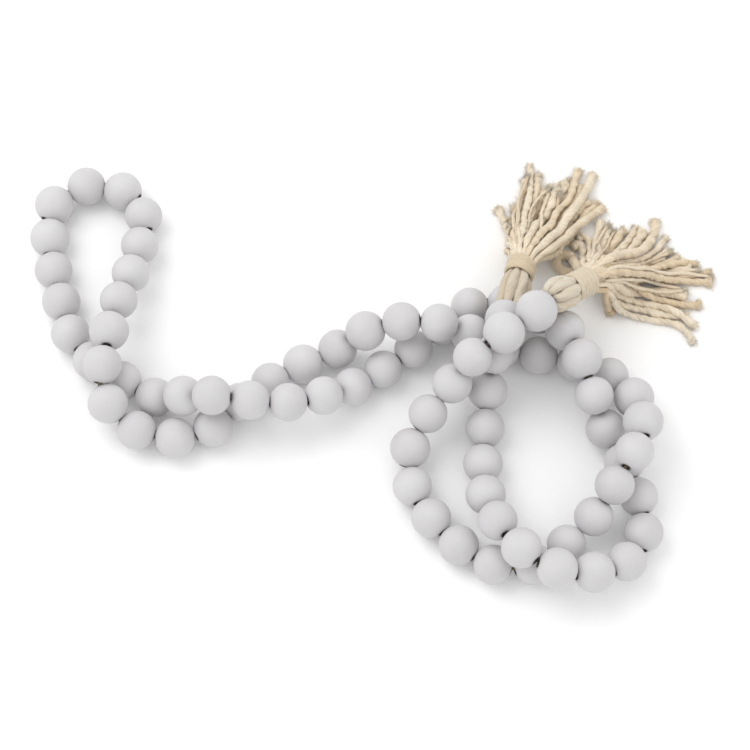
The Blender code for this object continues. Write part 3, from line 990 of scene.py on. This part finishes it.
def settle(routes):
    """Move all the strands' points until they lie on each other and on the table."""
    points = np.array([p for route in routes for p in route["line"]])
    radii = np.array([r for route in routes for r in route["radii"]])
    owner = np.array([i for i, route in enumerate(routes) for _ in route["line"]])
    order = np.array([i for route in routes for i in range(len(route["line"]))])
    held = order < HELD_POINTS
    free = ~held
    near = (owner[:, None] == owner[None]) & (abs(order[:, None] - order[None]) < STEPS_APART)
    near |= held[:, None] & held[None]
    wanted_gap = radii[:, None] + radii[None]
    weight = radii**2
    give = weight[None] / (weight[:, None] + weight[None])
    inner = np.zeros(len(points), bool)
    inner[1:-1] = (owner[1:-1] == owner[:-2]) & (owner[1:-1] == owner[2:])
    inside = np.nonzero(inner)[0]
    steps = np.nonzero(owner[1:] == owner[:-1])[0]

    def bends(line):
        return (line[inside] - (line[inside - 1] + line[inside + 1]) / 2) * free[inside][:, None]

    drawn = points.copy()
    drawn_bends = bends(drawn)
    step_length = np.linalg.norm(drawn[steps + 1] - drawn[steps], axis=1)
    blocks, block_radii = list(centres), list(bead_radii)
    for tassel in tassels:
        for along in np.arange(HEAD_BALLS_FROM, tassel.flare_start, HEAD_BALL_STEP):
            blocks.append(np.array(tassel.place(along, 0, 0)))
            block_radii.append(HEAD_BALL_RADIUS)
    blocks, block_radii = np.array(blocks), np.array(block_radii)
    loose = free & (order > POINTS_NEAR_BLOCKS)
    for _ in range(SETTLE_ROUNDS):
        points[free, 2] -= SINK
        points[free, :2] += (drawn[free, :2] - points[free, :2]) * PLAN_PULL
        offset, gap = between(points, points)
        push = np.clip(wanted_gap - gap, 0, None) * ~near
        move = (offset * (give * push / gap)[:, :, None]).sum(axis=1)
        hits = np.maximum(1, (push > 0).sum(axis=1))
        points[free] += (move / np.sqrt(hits)[:, None])[free]
        offset, gap = between(points, blocks)
        push = np.clip(radii[:, None] + block_radii[None] - gap, 0, None) * loose[:, None]
        points += (offset * (push / gap)[:, :, None]).sum(axis=1) * BLOCK_PUSH
        points[inside] -= (bends(points) - drawn_bends) * BEND_PULL
        for parity in (0, 1):
            chosen = steps[order[steps] % 2 == parity]
            lengths = step_length[order[steps] % 2 == parity]
            along = points[chosen + 1] - points[chosen]
            reach = np.linalg.norm(along, axis=1) + NEVER_ZERO
            fix = along * ((reach - lengths) / reach)[:, None] / 2
            points[chosen] += fix * free[chosen][:, None]
            points[chosen + 1] -= fix * free[chosen + 1][:, None]
        points[:, 2] = np.maximum(points[:, 2], radii)
    worst = push.max()
    for _ in range(SMOOTH_ROUNDS):
        points[inside] -= bends(points - drawn) / 2
    points[:, 2] = np.maximum(points[:, 2], radii)
    overlap = np.where(near, 0, wanted_gap - between(points, points)[1])
    print("strands overlap by at most", round(overlap.max() / MM, 2), "mm")
    print("and the blocks by", round(worst / MM, 2), "mm")
    for i, route in enumerate(routes):
        route["line"] = [Vector(p) for p in points[owner == i]]


settle(routes)

# %% [markdown]
# ## Making the strands
#
# The settled lines become cords. Their tips are cut square and swell a little where the twist
# comes undone, so each cord widens over its last millimetres and then closes in a blunt end.

# %% Turn the routes into cords
STRAND_SPACING = 0.8 * MM
SHORTEST_LAY, LONGEST_LAY = 10 * MM, 15 * MM
SLUB_DEPTH = 0.16
SLUB_LENGTH = 6.0 * MM
TIP_SWELL_LENGTH = 4.5 * MM
TIP_SWELL = 0.28
SWELL_SHARES = (0.3, 1.6)
LAY_UNREST = 2.2
# Each strand reads its own line of the noise that makes it uneven
STRANDS_APART = 7.3
# How a tip closes: how far it goes on past its last point, and its width there
TIP_CLOSE = ((0.5, 1.00), (0.95, 0.86), (1.25, 0.58), (1.38, 0.22))
# Two strands that lie in the others' shade, the hook and the ring, get a warmer, darker colour as
# painted shade
SHADED_STRANDS = {46: 1.6, 47: 0.75}

strand_cords = {tassel.name: [] for tassel in tassels}
for number, route in enumerate(routes):
    tassel = route["tassel"]
    points = smooth_path(route["line"], STRAND_SPACING)
    stations = np.linspace(0, len(route["radii"]) - 1, len(points))
    radii = list(np.interp(stations, range(len(route["radii"])), route["radii"]))
    swell = TIP_SWELL * strand_random.uniform(*SWELL_SHARES)
    for i in range(len(points)):
        to_tip = (len(points) - 1 - i) * STRAND_SPACING
        radii[i] *= 1.0 + swell * ease(max(0.0, 1.0 - to_tip / TIP_SWELL_LENGTH))
        place = Vector((i * STRAND_SPACING / SLUB_LENGTH, STRANDS_APART * number, 0))
        radii[i] *= 1.0 + SLUB_DEPTH * noise.noise(place)
    heading = (points[-1] - points[-3]).normalized()
    tip, width = points[-1], radii[-1]
    route.update(heading=heading, fine=points, fine_radii=list(radii))
    for further, share in TIP_CLOSE:
        points = [*points, tip + heading * (further * MM)]
        radii.append(width * share)
    shade = SHADED_STRANDS.get(number, strand_random.random())
    tilt = strand_random.uniform(0, ANY_PHASE)
    lay = strand_random.uniform(SHORTEST_LAY, LONGEST_LAY)
    profile = strand_random.choice((strand_profile, flat_profile, flat_profile, pair_profile))
    piece = cord(f"strand_{number}", points, radii, lay, profile, shade, tilt, unrest=LAY_UNREST)
    roughen(piece)
    for vertex in piece.data.vertices:
        vertex.co.z = max(vertex.co.z, 0.0)
    strand_cords[tassel.name].append(piece)
tassel_pieces = []
for tassel in tassels:
    piece = join([*strand_cords[tassel.name], *head_cords[tassel.name]], f"{tassel.name}_cords")
    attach(piece, "root")
    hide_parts(tassel.name)
    tassel_pieces.append(piece)
    triangles = sum(len(face.vertices) - 2 for face in piece.data.polygons)
    print(piece.name, "has", triangles, "triangles")

# %% [markdown]
# ## Frayed ends
#
# Cut cotton frays: fine fibres stand out from every tip, and a few along the strands. Real hair
# curves would be lost when the model is exported, so the fibres are very thin tubes of three
# points each, scattered with a seeded random generator so that they fall the same way every time.

# %% Add the loose fibres
FIBRE_RADIUS = 0.075 * MM
LOWEST = 0.1 * MM
FIBRE_TONE = 0.8
TIP_FIBRES = 170
FIRST_WITH_FIBRE = 8
# Random ranges for fibres at a tip: how far from its middle (as a share of its radius) and past its
# end (in millimetres) they start, how far they lean out, and their length in millimetres. Then the
# lean and the length of those along a strand.
TIP_OUT, TIP_PAST, TIP_LEAN, TIP_LENGTH = (0.1, 0.95), (-2.6, 0.8), (0.1, 1.8), (0.7, 2.7)
SIDE_LEAN, SIDE_LENGTH = (-0.3, 1.6), (0.5, 1.7)
SIDE_OUT = 0.85
TIP_CURL, SIDE_CURL = 0.28, 0.35


def fibre(path, start, heading, length, curl):
    """One thin curved fibre, added to a path with many."""
    places = [start + heading * (length * t) + curl * (length * t * t) for t in (0, 0.5, 1)]
    for place in places:
        place.z = max(place.z, LOWEST)
    for spot, width in zip(add_line(path, places).points, (1.0, 0.75, 0.5)):
        spot.radius = width


def random_turn(generator):
    return Vector([generator.gauss(0, 1) for _ in range(3)])


def across(direction, generator):
    """A random direction at right angles to another."""
    turn = random_turn(generator)
    return (turn - direction * turn.dot(direction)).normalized()


fibre_random = random.Random(53)
for tassel in tassels:
    path = new_path(tassel.name + "_fray")
    path.bevel_depth = FIBRE_RADIUS
    path.bevel_resolution = 0
    for route in (route for route in routes if route["tassel"] is tassel):
        heading, line, widths = route["heading"], route["fine"], route["fine_radii"]
        for _ in range(TIP_FIBRES):
            out = across(heading, fibre_random)
            start = line[-1] + out * (widths[-1] * fibre_random.uniform(*TIP_OUT))
            start += heading * (fibre_random.uniform(*TIP_PAST) * MM)
            aim = (heading + out * fibre_random.uniform(*TIP_LEAN)).normalized()
            length = fibre_random.uniform(*TIP_LENGTH) * MM
            fibre(path, start, aim, length, random_turn(fibre_random) * TIP_CURL)
        for i in range(FIRST_WITH_FIBRE, len(line) - 2):
            along = (line[i + 1] - line[i]).normalized()
            out = across(along, fibre_random)
            start = line[i] + out * (widths[i] * SIDE_OUT)
            aim = (out + along * fibre_random.uniform(*SIDE_LEAN)).normalized()
            length = fibre_random.uniform(*SIDE_LENGTH) * MM
            fibre(path, start, aim, length, random_turn(fibre_random) * SIDE_CURL)
    piece = mesh_from(path)
    paint_value(piece, "shade", FIBRE_TONE)
    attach(piece, "root")
    tassel_pieces.append(piece)
    print(piece.name, "has", len(piece.data.polygons), "faces")
for profile in cord_profiles:
    bpy.data.objects.remove(profile, do_unlink=True)

# %% [markdown]
# ## Writing materials as sums
#
# A material is a web of nodes, and a long one is hard to read as code. The class below wraps one
# output of a node, so that plain expressions on it add the Math nodes, and a second class holds
# the material and adds any other node with its settings and inputs.

# %% Shader maths in plain Python


class Signal:
    """A number that varies over the surface and can be used in plain sums."""

    def __init__(self, finish, socket):
        self.finish = finish
        self.socket = socket

    def sum(self, operation, first, second):
        return self.finish.node("ShaderNodeMath", {"operation": operation}, {0: first, 1: second})

    def __add__(self, other):
        return self.sum("ADD", self, other)

    def __radd__(self, other):
        return self.sum("ADD", other, self)

    def __sub__(self, other):
        return self.sum("SUBTRACT", self, other)

    def __rsub__(self, other):
        return self.sum("SUBTRACT", other, self)

    def __mul__(self, other):
        return self.sum("MULTIPLY", self, other)

    def __rmul__(self, other):
        return self.sum("MULTIPLY", other, self)

    def cosine(self):
        return self.sum("COSINE", self, 0.0)

    def size(self):
        return self.sum("ABSOLUTE", self, 0.0)

    def power(self, other):
        return self.sum("POWER", self, other)


class Finish:
    """A material in the making."""

    def __init__(self, name, roughness):
        self.material = bpy.data.materials.new(name)
        self.material.use_nodes = True
        self.tree = self.material.node_tree
        self.shader = self.tree.nodes["Principled BSDF"]
        self.shader.inputs["Roughness"].default_value = roughness

    def feed(self, socket, value):
        if isinstance(value, Signal):
            self.tree.links.new(value.socket, socket)
        else:
            socket.default_value = value

    def node(self, kind, settings=None, values=None, output=0):
        made = self.tree.nodes.new(kind)
        for name, value in (settings or {}).items():
            setattr(made, name, value)
        for name, value in (values or {}).items():
            self.feed(made.inputs[name], value)
        return Signal(self, made.outputs[output])

    def stored(self, name):
        return self.node("ShaderNodeAttribute", {"attribute_name": name}, output="Fac")

    def noise(self, vector, scale, detail=2.0, roughness=0.5):
        values = {"Vector": vector, "Scale": scale, "Detail": detail, "Roughness": roughness}
        return self.node("ShaderNodeTexNoise", {}, values)

    def contrast(self, signal, low, high):
        values = {"Value": signal, "From Min": low, "From Max": high}
        return self.node("ShaderNodeMapRange", {"clamp": True}, values)

    def blend(self, first, second, share):
        settings = {"data_type": "RGBA", "clamp_factor": True}
        return self.node("ShaderNodeMix", settings, {0: share, 6: first, 7: second}, 2)

    def set(self, name, value):
        self.feed(self.shader.inputs[name], value)

    def bump(self, height, strength, distance):
        values = {"Height": height, "Strength": strength, "Distance": distance}
        self.set("Normal", self.node("ShaderNodeBump", {}, values))


def colour(red, green, blue):
    return (red, green, blue, 1.0)


def dress(piece, finish):
    piece.data.materials.clear()
    piece.data.materials.append(finish.material)


print("ready for materials")

# %% [markdown]
# ## Painted wood
#
# The beads wear a matt, chalky off-white paint with a breath of grey. Up close it is slightly
# pebbled, and no two beads have quite the same tone. Inside the hole the wood is barely painted,
# and it is coloured near black there as painted shade of the deep hole. A plain white would look
# like plastic, so the colour drifts in soft patches, and two sizes of noise raise the surface by a
# few hundredths of a millimetre.

# %% Finish the beads
# Sizes of the noise, as cells to a metre
PATCH_SCALE, SPECK_SCALE = 95.0, 900.0
PEBBLE_SCALE, DIMPLE_SCALE = 1100.0, 320.0

paint = Finish("chalk_painted_wood", 0.62)
where = paint.node("ShaderNodeTexCoord", output="Object")
tone = paint.stored("shade")
bore = paint.stored("bore")
patches = paint.contrast(paint.noise(where, PATCH_SCALE, 3.0), 0.32, 0.68)
specks = paint.contrast(paint.noise(where, SPECK_SCALE), 0.30, 0.70)
light_paint = colour(0.645, 0.635, 0.642)
grey_paint = colour(0.56, 0.548, 0.555)
# Bare wood in the hole, coloured near black as painted shade of the deep hole
wood_and_shade_colour = colour(0.09, 0.075, 0.06)
greyness = patches * 0.40 + tone * 0.42 + specks * 0.10
body_colour = paint.blend(light_paint, grey_paint, greyness)
# Towards the hole the colour turns to the near-black wood: painted shade
paint.set("Base Color", paint.blend(body_colour, wood_and_shade_colour, bore.power(1.6) * 0.92))
paint.set("Roughness", 0.55 + patches * 0.12)
pebbles = paint.noise(where, PEBBLE_SCALE, 3.0, 0.6)
dimples = paint.noise(where, DIMPLE_SCALE)
paint.bump(pebbles * 0.6 + dimples, 0.35, 0.12 * MM)
for piece in bead_pieces:
    dress(piece, paint)
print(len(bead_pieces), "bead pieces painted")

# %% [markdown]
# ## Unbleached cotton
#
# Strands and windings are unbleached cotton, cream on top, and on the strands painted shade makes
# them warmer in the grooves between the plies. The windings and the heads are given a darker
# colour as painted shade, and the string is brown cotton painted darker still as shade of the bead
# holes. The colour and the fine fibres follow the cord's own map, with the distance along it in
# millimetres and the distance round it from 0 to 1, because a pattern fixed in space would cut
# across the twist.

# %% Finish the cotton
# The fibres' pattern: cells round a cord, their slant, cells along it, and the size of its noise
FIBRES_ROUND, FIBRE_SLANT, FIBRES_ALONG, FIBRE_SCALE = 16.0, 0.45, 0.30, 1.6
SLUB_SCALE = 0.28
# Cords of another shade read another part of the noise
SHADES_APART = 40.0


def cotton(name, plies, light, warm):
    """Cotton with so many plies, painted shade in the grooves between them, and fibres along them.
    """
    finish = Finish(name, 0.92)
    finish.set("Sheen Weight", 0.25)
    finish.set("Sheen Roughness", 0.5)
    where = finish.node("ShaderNodeTexCoord", output="UV")
    split = {"Vector": where}
    along = finish.node("ShaderNodeSeparateXYZ", {}, split, "X")
    around = finish.node("ShaderNodeSeparateXYZ", {}, split, "Y")
    tone = finish.stored("shade")
    layer = tone * SHADES_APART
    across_lanes = around * FIBRES_ROUND + along * FIBRE_SLANT
    lanes = {"X": across_lanes, "Y": along * FIBRES_ALONG, "Z": layer}
    lane_place = finish.node("ShaderNodeCombineXYZ", {}, lanes)
    fibres = finish.noise(lane_place, FIBRE_SCALE, 4.0, 0.65)
    slub_place = finish.node("ShaderNodeCombineXYZ", {}, {"X": along, "Y": around, "Z": layer})
    slubs = finish.contrast(finish.noise(slub_place, SLUB_SCALE), 0.3, 0.7)
    depth = 0.38 * finish.contrast(fibres, 0.60, 0.40) + 0.16 * slubs + 0.50 * tone.power(2.0)
    # Painted shade: the colour turns warmer and darker in the grooves between the plies
    if plies:
        ridge = (around * (math.pi * plies)).cosine().size()
        depth = depth + (1.0 - ridge).power(2.0) * 0.32
    colours = finish.blend(colour(*light), colour(*warm), depth)
    # Painted shade: the heads' colour is mixed towards a grey
    finish.set("Base Color", finish.blend(colours, HEAD_SHADE_GREY, finish.stored("dullness")))
    finish.set("Roughness", 0.86 + fibres * 0.12)
    finish.bump(fibres, 0.9, 0.35 * MM)
    return finish


# The grey that stands in for shade on the tassel heads
HEAD_SHADE_GREY = colour(0.40, 0.41, 0.38)
# Each cotton has its light colour and then its warm one
strand_cotton = cotton("unbleached_cotton_strands", 4, (0.90, 0.825, 0.685), (0.70, 0.545, 0.35))
# The string is brown cotton, coloured darker still as painted shade of the holes it runs in
string_cotton = cotton("dark_cotton_string", 3, (0.27, 0.22, 0.16), (0.15, 0.12, 0.08))
fray_cotton = cotton("loose_cotton_fibres", 0, (0.78, 0.74, 0.65), (0.58, 0.52, 0.42))
# The windings' colours are darker than the strands', as painted shade
winding_cotton = cotton(
    "unbleached_cotton_windings", 0, (0.745, 0.695, 0.575), (0.59, 0.465, 0.30)
)
dress(string, string_cotton)
for piece in tassel_pieces:
    dress(piece, fray_cotton if piece.name.endswith("fray") else strand_cotton)
for tassel in tassels:
    dress(bpy.data.objects[f"{tassel.name}_winding"], winding_cotton)
print("four cotton finishes")

# %% [markdown]
# ## Table and light
#
# The garland lies on a white sweep under soft studio light. One broad lamp high on the left models
# the beads, a weaker one on the right opens the shadows, and the white surroundings do the rest.

# %% Set the stage
SWEEP_SIZE = 8.0
SWEEP_DROP = 0.02 * MM
SURROUNDINGS = 0.92
# Name, place in metres, size of its square in metres, and power in watts
LAMPS = (
    ("key_lamp", (-0.9, 0.5, 1.6), 1.3, 12.0),
    ("fill_lamp", (1.2, -0.6, 1.3), 1.4, 2.2),
)

select_only()
bpy.ops.mesh.primitive_plane_add(size=SWEEP_SIZE, location=(0, 0, -SWEEP_DROP))
table_top = bpy.context.object
table_top.name = "white_sweep"
sweep = Finish("white_sweep_paint", 0.9)
sweep.set("Base Color", colour(0.97, 0.97, 0.97))
dress(table_top, sweep)

world = bpy.data.worlds.new("white_studio")
world.use_nodes = True
background = world.node_tree.nodes["Background"].inputs
background["Color"].default_value = colour(1.0, 1.0, 1.0)
background["Strength"].default_value = SURROUNDINGS
bpy.context.scene.world = world

for name, lamp_place, size, power in LAMPS:
    lamp_data = bpy.data.lights.new(name, "AREA")
    lamp_data.size = size
    lamp_data.energy = power
    lamp = put_in_scene(name, lamp_data)
    lamp.location = lamp_place
    lamp.rotation_euler = Vector(lamp_place).to_track_quat("Z", "Y").to_euler()
bpy.context.scene.view_settings.view_transform = "Standard"
print(len(LAMPS), "lamps")
